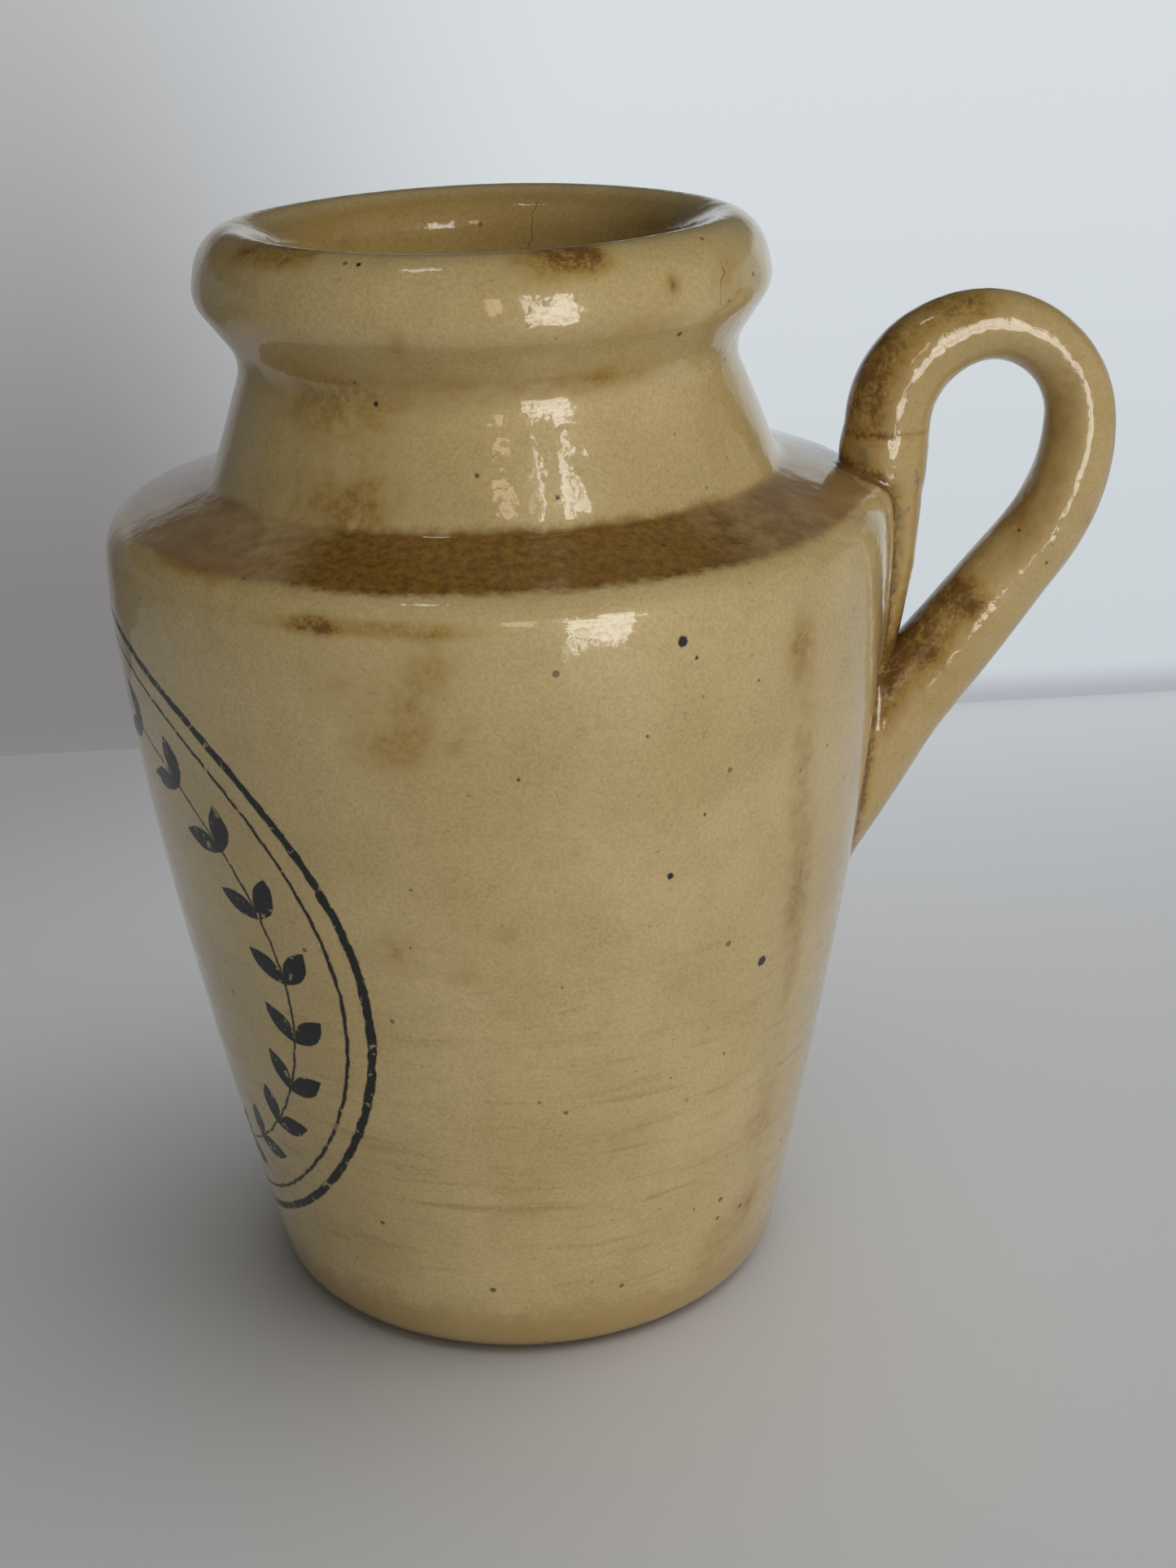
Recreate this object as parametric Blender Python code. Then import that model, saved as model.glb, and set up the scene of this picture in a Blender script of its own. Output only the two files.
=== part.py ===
"""Cream jug: a thrown stoneware vessel with a rope handle luted to its side.

The jug stands on Z = 0, its axis is the Z axis and its handle is on +X. Lengths are in metres.
Four pieces: the thrown vessel, the rope handle and the two lutes of clay that hold the handle's ends.
"""

import math

import bmesh
import bpy
from mathutils import Vector

MM = 0.001
GAP = 0.3 * MM
MERGE = 0.00001

# Vessel, outside
FOOT_RADIUS = 27.0 * MM
FOOT_ROUND = 3.5 * MM
WALL_STARTS = 8.0 * MM
WALL_ENDS = 79.0 * MM
WALL_SPANS = 7
WALL_CURVE = 1.47
WIDEST_RADIUS = 38.75 * MM
WIDEST_HEIGHT = 77.0 * MM
SHOULDER_RADIUS = 38.35 * MM
SHOULDER_HEIGHT = 82.8 * MM
SHOULDER_ROUND = 3.4 * MM
NECK_BASE_RADIUS = 28.0 * MM
NECK_BASE_HEIGHT = 86.2 * MM
NECK_BASE_ROUND = 1.6 * MM
GROOVE_RADIUS = 23.8 * MM
GROOVE_HEIGHT = 97.6 * MM
GROOVE_ROUND = 4.0 * MM
BEAD_RADIUS = 28.0 * MM
BEAD_HEIGHT = 103.5 * MM
BEAD_ROUND = 3.5 * MM
LIP_RADIUS = 27.0 * MM
LIP_HEIGHT = 108.1 * MM
LIP_ROUND = 5.0 * MM
CREST_RADIUS = 23.9 * MM
CREST_ROUND = 3.0 * MM
RIM_HEIGHT = 110.4 * MM

# Vessel, inside
WALL = 4.6 * MM
FLOOR = 6.5 * MM
FLOOR_ROUND = 4.0 * MM
INSIDE_STARTS = 12.5 * MM
INSIDE_ENDS = 72.0 * MM
INSIDE_SHOULDER_ROUND = 4.0 * MM
INSIDE_NECK_ROUND = 2.0 * MM
THROAT_RADIUS = 19.0 * MM
THROAT_ROUND = 4.0 * MM
MOUTH_RADIUS = 19.4 * MM
MOUTH_HEIGHT = 107.9 * MM
MOUTH_ROUND = 2.4 * MM

TURN_STEPS = 64
ARC_STEP = math.radians(20)

# Handle rope, in the plane Y = 0. Each stretch is (length in mm, turn in degrees), and each
# radius is (length along the rope, radius), both in mm.
ROPE_START = (38.6 * MM, 83.6 * MM)
ROPE_LEAN = math.radians(85)
ROPE_STRETCHES = (
    (5.0, 0),
    (29.0, -173),
    (14.6, -41),
    (18.5, 0),
    (6.2, 13.5),
    (14.7, 0),
)
ROPE_RADII = (
    (0.0, 4.15),
    (10.0, 4.1),
    (20.0, 3.45),
    (29.0, 3.35),
    (39.0, 4.0),
    (49.0, 4.4),
    (62.0, 4.6),
    (70.0, 4.8),
    (80.0, 4.3),
    (88.0, 3.1),
)
ROPE_STEP = 1.6 * MM
ROPE_SIDES = 16

# Lutes. The tail's points are (x, z, radius) in mm.
LUTE_WIDTH = 1.2 * MM
LUTE_DEPTH = 1.4 * MM
UPPER_LUTE_LENGTH = 9.0 * MM
LOWER_LUTE_START = 60.0 * MM
TAIL_POINTS = (
    (38.6, 85.5, 4.1),
    (38.5, 80.0, 4.0),
    (38.2, 74.0, 3.8),
    (37.4, 67.0, 3.4),
    (36.5, 60.5, 3.0),
)


def clear_scene():
    for item in list(bpy.data.objects):
        bpy.data.objects.remove(item, do_unlink=True)


def glaze(name, colour, roughness):
    """A Principled material for one piece."""
    material = bpy.data.materials.new(name)
    material.use_nodes = True
    shader = material.node_tree.nodes["Principled BSDF"]
    shader.inputs["Base Color"].default_value = (*colour, 1.0)
    shader.inputs["Roughness"].default_value = roughness
    shader.inputs["Metallic"].default_value = 0.0
    return material


def rounded(corners):
    """Turns (radius, height, rounding) corners into points, with an arc at each rounded corner."""
    points = []
    for index, (radius, height, rounding) in enumerate(corners):
        corner = Vector((radius, height))
        if rounding == 0:
            points.append(corner)
            continue
        before = (Vector(corners[index - 1][:2]) - corner).normalized()
        after = (Vector(corners[index + 1][:2]) - corner).normalized()
        half = before.angle(after) / 2
        centre = corner + (before + after).normalized() * rounding / math.sin(half)
        first = corner + before * rounding / math.tan(half) - centre
        last = corner + after * rounding / math.tan(half) - centre
        count = max(2, math.ceil(first.angle(last) / ARC_STEP))
        for step in range(count + 1):
            points.append(centre + first.slerp(last, step / count).normalized() * rounding)
    return points


def wall_radius(height):
    """The outside of the wall, which swells from the foot to its widest a little under the shoulder."""
    share = abs(1 - height / WIDEST_HEIGHT)
    return WIDEST_RADIUS - (WIDEST_RADIUS - FOOT_RADIUS) * share**WALL_CURVE


def wall_corners(first, last, inset):
    """Corners up the wall between two heights, moved towards the axis by the inset."""
    corners = []
    for span in range(WALL_SPANS + 1):
        height = first + (last - first) * span / WALL_SPANS
        corners.append((wall_radius(height) - inset, height, 0))
    return corners


def outer_corners():
    """The outside, from the middle of the foot up to the bead's crest."""
    corners = [(0, 0, 0), (FOOT_RADIUS, 0, FOOT_ROUND)]
    corners += wall_corners(WALL_STARTS, WALL_ENDS, 0)
    corners.append((SHOULDER_RADIUS, SHOULDER_HEIGHT, SHOULDER_ROUND))
    corners.append((NECK_BASE_RADIUS, NECK_BASE_HEIGHT, NECK_BASE_ROUND))
    corners.append((GROOVE_RADIUS, GROOVE_HEIGHT, GROOVE_ROUND))
    corners.append((BEAD_RADIUS, BEAD_HEIGHT, BEAD_ROUND))
    corners.append((LIP_RADIUS, LIP_HEIGHT, LIP_ROUND))
    corners.append((CREST_RADIUS, RIM_HEIGHT, CREST_ROUND))
    return corners


def inner_corners():
    """The inside, from the lip down to the middle of the floor."""
    corners = [(MOUTH_RADIUS, MOUTH_HEIGHT, MOUTH_ROUND)]
    corners.append((THROAT_RADIUS, GROOVE_HEIGHT, THROAT_ROUND))
    corners.append((NECK_BASE_RADIUS - WALL, NECK_BASE_HEIGHT - WALL, INSIDE_NECK_ROUND))
    corners.append((SHOULDER_RADIUS - WALL, SHOULDER_HEIGHT - WALL, INSIDE_SHOULDER_ROUND))
    corners += reversed(wall_corners(INSIDE_STARTS, INSIDE_ENDS, WALL))
    corners.append((wall_radius(FLOOR) - WALL, FLOOR, FLOOR_ROUND))
    corners.append((0, FLOOR, 0))
    return corners


def turned(name, points):
    """Spins a profile about Z. The points run down the outer side, top to bottom."""
    mesh = bpy.data.meshes.new(name)
    vertices = [(point[0], 0, point[1]) for point in points]
    edges = [(i, i + 1) for i in range(len(vertices) - 1)]
    mesh.from_pydata(vertices, edges, [])
    item = bpy.data.objects.new(name, mesh)
    bpy.context.collection.objects.link(item)
    screw = item.modifiers.new("Turn", "SCREW")
    screw.steps = TURN_STEPS
    screw.render_steps = TURN_STEPS
    screw.use_merge_vertices = True
    screw.merge_threshold = MERGE
    screw.use_smooth_shade = True
    return item


def swollen_vessel(name, margin):
    """The vessel's outer form as a solid plug, larger by the margin all round."""
    profile = rounded(outer_corners() + [(0, RIM_HEIGHT, 0)])
    points = []
    for index, point in enumerate(profile):
        before = profile[max(index - 1, 0)]
        after = profile[min(index + 1, len(profile) - 1)]
        along = (after - before).normalized()
        out = Vector((along.y, -along.x))
        points.append(point + out * margin)
    points[0].x = 0
    points[-1].x = 0
    return turned(name, list(reversed(points)))


def rope_route():
    """Points every ROPE_STEP or so along the rope: (x, z, length so far)."""
    x, z = ROPE_START
    heading = ROPE_LEAN
    travelled = 0
    route = [(x, z, 0)]
    for length, turn in ROPE_STRETCHES:
        count = math.ceil(length * MM / ROPE_STEP)
        stride = length * MM / count
        bend = math.radians(turn) / count
        for step in range(count):
            heading += bend / 2
            x += stride * math.cos(heading)
            z += stride * math.sin(heading)
            heading += bend / 2
            travelled += stride
            route.append((x, z, travelled))
    return route


def rope_radius(travelled):
    """The rope's radius at a length along it, read between the listed stations."""
    place = travelled / MM
    for (start, first), (end, second) in zip(ROPE_RADII, ROPE_RADII[1:]):
        if place <= end:
            return (first + (second - first) * (place - start) / (end - start)) * MM
    return ROPE_RADII[-1][1] * MM


def tube(name, points):
    """A round bar with closed ends through (x, z, radius) points in the plane Y = 0."""
    curve = bpy.data.curves.new(name, "CURVE")
    curve.dimensions = "3D"
    curve.twist_mode = "MINIMUM"
    curve.bevel_depth = 1.0
    curve.bevel_resolution = (ROPE_SIDES - 4) // 2
    curve.use_fill_caps = True
    spline = curve.splines.new("POLY")
    spline.points.add(len(points) - 1)
    for target, (x, z, radius) in zip(spline.points, points):
        target.co = (x, 0, z, 1)
        target.radius = radius
    item = bpy.data.objects.new(name, curve)
    bpy.context.collection.objects.link(item)
    return item


def swollen_bar(name, points, margin):
    """A tube through (x, z, radius) points, thicker by the margin and longer by it at both ends."""
    fat = [(x, z, radius + margin) for x, z, radius in points]
    for end, inner in ((0, 1), (-1, -2)):
        place = Vector(points[end][:2])
        run = (place - Vector(points[inner][:2])).normalized()
        fat[end] = (*(place + run * margin), points[end][2] + margin)
    return tube(name, fat)


def rope(name, margin, start=0, end=math.inf):
    """The rope between two lengths along it, swollen by the margin."""
    points = [(x, z, rope_radius(s)) for x, z, s in rope_route() if start <= s <= end]
    return swollen_bar(name, points, margin)


def tail(name, margin):
    """The rope's thumbed-down end, which runs down the wall below the shoulder."""
    return swollen_bar(name, [(x * MM, z * MM, radius * MM) for x, z, radius in TAIL_POINTS], margin)


def as_mesh(item):
    """Replaces an object by a mesh object of the shape it shows, with the same name."""
    name = item.name
    shape = bpy.data.meshes.new_from_object(item.evaluated_get(bpy.context.evaluated_depsgraph_get()))
    clean = bmesh.new()
    clean.from_mesh(shape)
    bmesh.ops.remove_doubles(clean, verts=clean.verts, dist=MERGE)
    bmesh.ops.recalc_face_normals(clean, faces=clean.faces)
    clean.to_mesh(shape)
    clean.free()
    bpy.data.objects.remove(item, do_unlink=True)
    result = bpy.data.objects.new(name, shape)
    bpy.context.collection.objects.link(result)
    return result


def combine(item, other, operation):
    """Adds an exact Boolean to a piece. The other object becomes a hidden guide."""
    other.hide_render = True
    other.display_type = "WIRE"
    modifier = item.modifiers.new(operation.title(), "BOOLEAN")
    modifier.operation = operation
    modifier.solver = "EXACT"
    modifier.object = other


def finish(item, material):
    """Gives a piece its material and smooth shading with crisp cut edges."""
    item.data.materials.clear()
    item.data.materials.append(material)
    item.data.shade_smooth()
    item.data.set_sharp_from_angle(angle=math.radians(40))
    return item


def make_vessel():
    profile = rounded(outer_corners() + inner_corners())
    vessel = turned("jug_body", list(reversed(profile)))
    vessel.data.materials.append(glaze("honey_glaze", (0.36, 0.26, 0.12), 0.15))
    return vessel


def make_handle(seat):
    handle = as_mesh(rope("handle", 0))
    combine(handle, seat, "DIFFERENCE")
    return finish(handle, glaze("handle_glaze", (0.30, 0.20, 0.08), 0.15))


def make_upper_lute(seat, skin, rope_cutter):
    """The rope's end dressed down the wall as a tail, with a low collar round the rope."""
    lute = as_mesh(tail("upper_lute", 0))
    collar = as_mesh(rope("collar", LUTE_WIDTH, 0, UPPER_LUTE_LENGTH))
    combine(collar, skin, "INTERSECT")
    combine(lute, collar, "UNION")
    combine(lute, seat, "DIFFERENCE")
    combine(lute, rope_cutter, "DIFFERENCE")
    return finish(lute, glaze("upper_lute_glaze", (0.29, 0.22, 0.12), 0.15))


def make_lower_lute(seat, skin, rope_cutter):
    """A low fillet of clay round the foot of the rope, open at the top where the tail comes down."""
    lute = as_mesh(rope("lower_lute", LUTE_WIDTH, LOWER_LUTE_START))
    combine(lute, skin, "INTERSECT")
    combine(lute, seat, "DIFFERENCE")
    combine(lute, rope_cutter, "DIFFERENCE")
    combine(lute, as_mesh(tail("tail_cutter", GAP)), "DIFFERENCE")
    return finish(lute, glaze("lower_lute_glaze", (0.29, 0.22, 0.12), 0.15))


def main():
    clear_scene()
    make_vessel()
    seat = as_mesh(swollen_vessel("seat", GAP))
    skin = as_mesh(swollen_vessel("skin", LUTE_DEPTH))
    rope_cutter = as_mesh(rope("rope_cutter", GAP))
    make_handle(seat)
    make_upper_lute(seat, skin, rope_cutter)
    make_lower_lute(seat, skin, rope_cutter)


main()
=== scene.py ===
"""The looks of the stoneware cream jug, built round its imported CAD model.

The shape code works in millimetres in the CAD frame: the jug stands on Z = 0, its axis is Z and its
handle is on +X. Angles are in degrees about Z, from +X towards +Y, so the camera looks at the side near -90.
"""

import math

import bpy
import numpy as np
from mathutils import Matrix, Vector


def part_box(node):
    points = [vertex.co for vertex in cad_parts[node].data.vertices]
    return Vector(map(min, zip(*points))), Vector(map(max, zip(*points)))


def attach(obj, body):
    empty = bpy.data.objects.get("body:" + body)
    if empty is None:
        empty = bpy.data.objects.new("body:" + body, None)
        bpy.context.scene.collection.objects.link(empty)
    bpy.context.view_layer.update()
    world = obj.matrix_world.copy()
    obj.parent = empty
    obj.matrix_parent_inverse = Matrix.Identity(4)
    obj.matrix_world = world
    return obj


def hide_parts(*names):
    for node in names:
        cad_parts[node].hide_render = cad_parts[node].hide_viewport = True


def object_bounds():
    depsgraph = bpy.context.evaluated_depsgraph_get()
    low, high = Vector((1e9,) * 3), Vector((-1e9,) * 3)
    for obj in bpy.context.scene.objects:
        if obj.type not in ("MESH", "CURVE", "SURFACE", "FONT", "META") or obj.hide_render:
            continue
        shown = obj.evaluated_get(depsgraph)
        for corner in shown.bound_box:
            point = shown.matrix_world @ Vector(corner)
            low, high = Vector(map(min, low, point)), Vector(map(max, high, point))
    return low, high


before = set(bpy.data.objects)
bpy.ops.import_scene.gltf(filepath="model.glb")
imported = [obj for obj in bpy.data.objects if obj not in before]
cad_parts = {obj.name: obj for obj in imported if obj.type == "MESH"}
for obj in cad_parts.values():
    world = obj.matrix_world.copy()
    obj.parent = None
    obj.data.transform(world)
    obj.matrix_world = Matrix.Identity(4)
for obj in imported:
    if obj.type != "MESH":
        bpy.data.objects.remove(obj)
cad_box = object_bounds()

MM = 0.001

# The vessel's outline, as the CAD part has it. The corners are (radius, height, rounding).
FOOT_RADIUS = 27.0
FOOT_ROUND = 3.5
WALL_STARTS = 8.0
WALL_ENDS = 79.0
WALL_CURVE = 1.47
WIDEST_RADIUS = 38.75
WIDEST_HEIGHT = 77.0
SHOULDER = (38.35, 82.8, 3.4)
NECK_BASE = (28.0, 86.2, 1.6)
GROOVE = (23.8, 97.6, 4.0)
BEAD = (28.0, 103.5, 3.5)
LIP = (27.0, 108.1, 5.0)
CREST = (23.9, 110.4, 3.0)
MOUTH = (19.4, 107.9, 2.4)
THROAT = (19.0, 97.6, 4.0)
WALL = 4.6
FLOOR = 6.5
FLOOR_ROUND = 4.0
INSIDE_STARTS = 12.5
INSIDE_ENDS = 72.0
INSIDE_SHOULDER_ROUND = 4.0
INSIDE_NECK_ROUND = 2.0

# The vessel's mesh
WALL_SPANS = 28
ARC_POINTS = 16
TURN_STEPS = 288
OUTSIDE_SPACING = 0.75
INSIDE_SPACING = 1.3
HIDDEN_SPACING = 2.5

# The rings that the potter's fingers leave. The ranges say where they fade in and out, from below.
RING_SPACING = 4.6
RING_WANDER = 1.2
RING_WANDER_LENGTH = 9.0
OUTSIDE_RING_DEPTH = 0.045
INSIDE_RING_DEPTH = 0.16
OUTSIDE_RINGS = (3, 8, 30, 62)
INSIDE_RINGS = (9, 14, 66, 74)

# How the hand-made jug departs from a true turned form: depths in millimetres, turns in radians
LEAST_INSET = 0.04
OVAL_DEPTH = 0.10
OVAL_TURN = 0.9
LOBE_DEPTH = 0.05
LOBE_TURN = -1.1
LOBE_TWIST_LENGTH = 40.0
RIM_LEAN = -0.55
RIM_DIP_DEPTH = 0.10
RIM_DIP_TURN = 0.5
SAG_DEPTH = 0.05

# The handle's rope, as the CAD part has it: stretches are (length, turn in degrees), and radii are
# (length along the rope, radius)
ROPE_START = (38.6, 83.6)
ROPE_LEAN = 85.0
ROPE_STRETCHES = (
    (5, 0),
    (29, -173),
    (14.6, -41),
    (18.5, 0),
    (6.2, 13.5),
    (14.7, 0),
)
ROPE_RADII = (
    (0, 4.15),
    (10, 4.1),
    (20, 3.45),
    (29, 3.35),
    (39, 4),
    (49, 4.4),
    (62, 4.6),
    (70, 4.8),
    (80, 4.3),
    (88, 3.1),
)
ROPE_STEP = 0.4
ROPE_SIDES = 64
UPPER_ROPE = (0, 8)
LOWER_ROPE = (56, 91)
TAIL_POINTS = (
    (38.6, 85.5, 4.1),
    (38.5, 80, 4),
    (38.2, 74, 3.8),
    (37.4, 67, 3.4),
    (36.5, 60.5, 3),
)

# How the rolled rope departs from an even round one where it is free of the vessel: its sway is in
# millimetres, and the others are shares of its radius. Lengths along it are per radian.
ROPE_FREE = (13, 24, 48, 62)
ROPE_SWAY = 0.25
ROPE_SWAY_LENGTH = 8.5
ROPE_SWAY_TURN = 0.6
ROPE_FLAT = 0.035
ROPE_FLAT_LENGTH = 12
ROPE_KNEAD = 0.012
ROPE_KNEAD_LENGTH = 3.7
ROPE_THIN = 0.02

# The clay that holds the handle's ends
LUTE_CELL = 0.35
LUTE_MARGIN = 5.6
LUTE_SINK = 0.015
LUTE_DEPTH = 0.7
LUTE_REACH = 1.15
UPPER_BLEND = 0.6
LOWER_BLEND = 2.0
ROPE_BLEND = 0.8
SMEAR_THICK = 0.65
SMEAR_SINK = 0.6
SMEAR_NEAR = 0.8
SMEAR_FAR = 5.6
SMEAR_EDGE = 6.0
SMEAR_BOTTOM = (60, 66)
SMEAR_TOP = (84.5, 82)
TABLE_CELL = 0.1
TABLE_HEIGHTS = (25, 92)
SETTLE_ROUNDS = 3
SETTLE_REACH = 0.02
SETTLE_SHARE = 0.8
LEAST_STEEPNESS = 0.2

# Brown stains on the vessel: angle, height, half width and half height in millimetres, strength
STAINS = (
    (-110, 81, 10, 0.7, 0.75),
    (-117, 81, 2, 1, 0.7),
    (-101, 78, 2.6, 3.2, 0.42),
    (-104, 73.5, 2.2, 3.6, 0.42),
    (-108, 70, 4.2, 2.4, 0.5),
    (-113, 75.5, 5, 3.4, 0.3),
    (-99, 70.5, 0.9, 0.9, 0.5),
    (-97, 72.5, 0.7, 0.8, 0.45),
    (-110, 50, 2.4, 3, 0.4),
    (-94, 52, 1.6, 1.4, 0.35),
    (-100, 47.5, 2, 1.4, 0.3),
    (-84, 60, 1.2, 1, 0.3),
    (-49, 75, 2, 3.6, 0.7),
    (-47, 64, 2.2, 8, 0.45),
    (-44, 50, 2.5, 8, 0.6),
    (-42, 40, 1.6, 5, 0.4),
    (-43, 24, 3, 9, 0.4),
    (-50, 9, 4, 4, 0.45),
    (-41, 11.5, 2.2, 3, 0.5),
    (-77, 28, 7, 3, 0.22),
    (-60, 22, 9, 3, 0.2),
    (-95, 98, 14, 1.8, 0.36),
    (-128, 97, 8, 3, 0.4),
    (-66, 98.6, 6, 1.2, 0.4),
    (-116, 92, 3, 5, 0.3),
    (-122, 88, 6, 2.5, 0.55),
    (-131, 93, 4, 6, 0.3),
    (-108, 103, 1.2, 1.5, 0.5),
    (-60, 103, 6, 1.6, 0.35),
    (-38, 105, 3, 4, 0.4),
    (-146, 109.3, 3.6, 1.3, 0.75),
    (-133, 109.4, 3.6, 1.2, 0.8),
    (-78, 109.2, 4, 1.6, 0.9),
    (-140, 83.4, 6, 0.7, 0.8),
    (-70, 109, 1.8, 1.2, 0.7),
    (-55, 106.2, 0.9, 1, 0.75),
    (-145, 104.5, 3, 1.5, 0.3),
    (-103, 106, 3, 1, 0.2),
    (-16, 84.6, 4, 1.6, 0.9),
    (-9, 80, 2, 4, 0.6),
    (60, 84, 9, 1.5, 0.3),
    (120, 60, 7, 9, 0.3),
    (45, 35, 5, 8, 0.3),
)

# The stain in the creases between the handle and the wall: its strength, the least x and the range of z
# where creases are looked for, and how wide each one spreads
CREASE_STAIN = 1.5
HANDLE_BOX = (28, 36, 92)
UPPER_CREASE = 1.5
LOWER_CREASE = 1.1
ROPE_CREASE = 2.8

# Brown stains on the handle, where glaze pooled; those on the left side of the upper arm and round the
# crotch of the lower arm also hold painted shade: x, z, half width, half height, strength
HANDLE_STAINS_AND_SHADE = (
    (45.5, 99.5, 4.2, 2.4, 0.8),
    # This stain and the next, on the left side of the upper arm, also hold painted shade
    (39.5, 96.5, 3.2, 4, 0.6),
    (36.4, 91.5, 2.6, 6, 1),
    (38.6, 87.6, 6, 0.35, 0.7),
    (56, 90, 1.8, 7, 0.45),
    (53, 80, 3, 6, 0.4),
    # This stain and those at (42.5, 66.5), (47, 70) and (42, 66), round the crotch under the lower arm, also
    # hold painted shade
    (44.6, 72, 3, 3.4, 0.75),
    (42.5, 66.5, 5, 7, 0.35),
    (50.5, 79.5, 2, 5, 0.35),
    (47, 70, 1.9, 1.9, 0.8),
    (42, 66, 2.6, 4, 0.7),
    (59, 78, 1.4, 1, 0.45),
    (61, 88, 1.6, 1, 0.3),
)

# Fine cracks in the rim: angle, degrees of slant per millimetre, lowest and highest height
HAIRLINES = (
    (-43.5, 0.6, 103.0, 107.4),
    (77.0, -0.5, 100.0, 109.0),
)

# Dark iron specks in the glaze: angle, height, half width
SPECKS = (
    (-69, 78.4, 0.5),
    (-67, 76.7, 0.2),
    (-51, 43.2, 0.58),
    (-74, 70.3, 0.17),
    (-65, 61.5, 0.19),
    (-70, 56, 0.34),
    (-61, 37.8, 0.2),
    (-66, 73, 0.16),
    (-91, 67.5, 0.15),
    (-72, 58.8, 0.16),
    (-57, 34, 0.22),
    (-64, 30, 0.16),
    (-86, 46, 0.14),
    (-117, 96.8, 0.2),
    (-81, 89, 0.2),
    (-117, 109, 0.22),
    (32, 110, 0.6),
    (95, 51, 0.3),
    (140, 72, 0.25),
)

# Colours in linear light
GLAZE_PALE = (0.62, 0.474, 0.222, 1)
GLAZE_DEEP = (0.55, 0.41, 0.175, 1)
GLAZE_BROWN = (0.36, 0.235, 0.075, 1)
ROPE_AMBER = (0.44, 0.27, 0.08, 1)
GLAZE_SPECKLE = (0.44, 0.29, 0.12, 1)
# Multiplied into the glaze inside the jug as painted shade
INSIDE_PAINTED_SHADE = (0.7, 0.62, 0.46, 1)
# The stain colours also paint the shade held in some of the handle's stains
STAIN_AND_SHADE_AMBER = (0.42, 0.265, 0.07, 1)
STAIN_AND_SHADE_BROWN = (0.19, 0.095, 0.02, 1)
BAND_DARK = (0.11, 0.045, 0.007, 1)
BAND_LIGHT = (0.28, 0.15, 0.022, 1)
BAND_WORN_AND_SHEEN = (0.42, 0.27, 0.14, 1)
BARE_CLAY = (0.52, 0.43, 0.31, 1)
DOT_BROWN = (0.13, 0.07, 0.025, 1)
DOT_BLACK = (0.015, 0.014, 0.012, 1)
DOT_BLUE = (0.12, 0.13, 0.12, 1)
INK = (0.005, 0.011, 0.013, 1)
INK_MATT = 0.55

# Where the glaze changes. Ranges of four fade in over the first two and out over the last two.
BAND_RADII = (27.3, 28.3, 35.6, 36.9)
BAND_HEIGHTS = (82.6, 83.4, 86.4, 87.6)
# BAND_FRONT: angles of the band's dark front; to its left the band is worn, to its right a painted
# reflection sheen
BAND_FRONT = (-131.0, -120.0, -64.0, -32.0)
STREAK_HEIGHTS = (0.0, 6.0, 25.0, 62.0)
# CAVITY_HEIGHTS: heights of the painted shade down the inside of the belly
CAVITY_HEIGHTS = (2.0, 4.0, 80.0, 84.0)
JOINT_RADII = (45.0, 42.5)
JOINT_HEIGHTS = (62.0, 68.0, 85.0, 89.0)
# INSIDE_FOOT: radii inside which the stains stop and painted shade darkens the jug's floor and neck
INSIDE_FOOT = (20.5, 22.5)

# Heights of the glaze's unevenness
WAVE_HEIGHT = 0.11
PEEL_HEIGHT = 0.012
ROPE_WAVE_HEIGHT = 0.27

# The printed ornament
PRINT_RADIUS = 33.0
PRINT_HEIGHT = 42.0
PRINT_HALF_WIDTH = 37.0
PRINT_HALF_HEIGHT = 34.0
LEAF_PAIRS = 12
WREATH_INSET = 8.2

# The stage
STAGE_REACH = 1500.0
WALL_BACK = 155.0
# The table's colours hold painted light: paler to the left, with a painted shade in the far left corner by
# the wall
TABLE_LEFT = (0.86, 0.87, 0.885, 1)
TABLE_CORNER = (0.42, 0.41, 0.42, 1)
TABLE_RIGHT = (0.8, 0.81, 0.83, 1)
# The wall glows: its colours are painted light and shade, dim to the left, bright to the right, darker at
# its foot on the right
WALL_LEFT_LOW = (0.228, 0.218, 0.222, 1)
WALL_LEFT_HIGH = (0.475, 0.48, 0.49, 1)
WALL_RIGHT_LOW = (0.60, 0.645, 0.675, 1)
WALL_RIGHT_HIGH = (0.68, 0.72, 0.745, 1)
SEAM_LEFT = (0.235, 0.235, 0.235, 1)
SEAM_RIGHT = (0.42, 0.425, 0.47, 1)
ROOM_LEFT = (0.06, 0.058, 0.055, 1)
ROOM_RIGHT = (0.26, 0.26, 0.26, 1)
ROOM_ABOVE = (0.09, 0.09, 0.09, 1)
ROOM_SEEN = (0.5, 0.51, 0.52, 1)

# Lights: (name, angle, elevation, distance, width, height, radiance, colour). Daylight and fill are
# the soft light on the jug, and table_light the light on the table. The others are only seen where
# they are mirrored in the glaze.
LIGHTS = (
    ("daylight", -58, 26, 800, 500, 500, 4.05, (1, 0.98, 0.945)),
    ("fill", -165, 15, 800, 700, 500, 0.45, (1, 0.985, 0.96)),
    ("table_light", 0, 66, 900, 1250, 1250, 1.1, (1, 1, 1)),
    ("window", -66, 8, 304, 140, 260, 7.5, (1, 0.98, 0.93)),
    ("curtain", -88, 22, 330, 34, 60, 4.4, (1, 0.7, 0.52)),
    ("ceiling_lamp", -160, 76, 500, 50, 50, 5, (1, 0.98, 0.95)),
)
LIGHTS_AIM = 75.0
RAGGED_SIZE = 1 / 4
CLUMP_SIZE = 1 / 9
CAMERA_BACK = 210.22
CAMERA_SIDE = -7.34
CAMERA_HEIGHT = 136.72
CAMERA_PITCH = 22.07
CAMERA_YAW = 4.18
CAMERA_ROLL = -1.735
LENS = 49.94
SENSOR_WIDTH = 36
CLIP_START = 0.01


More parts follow.
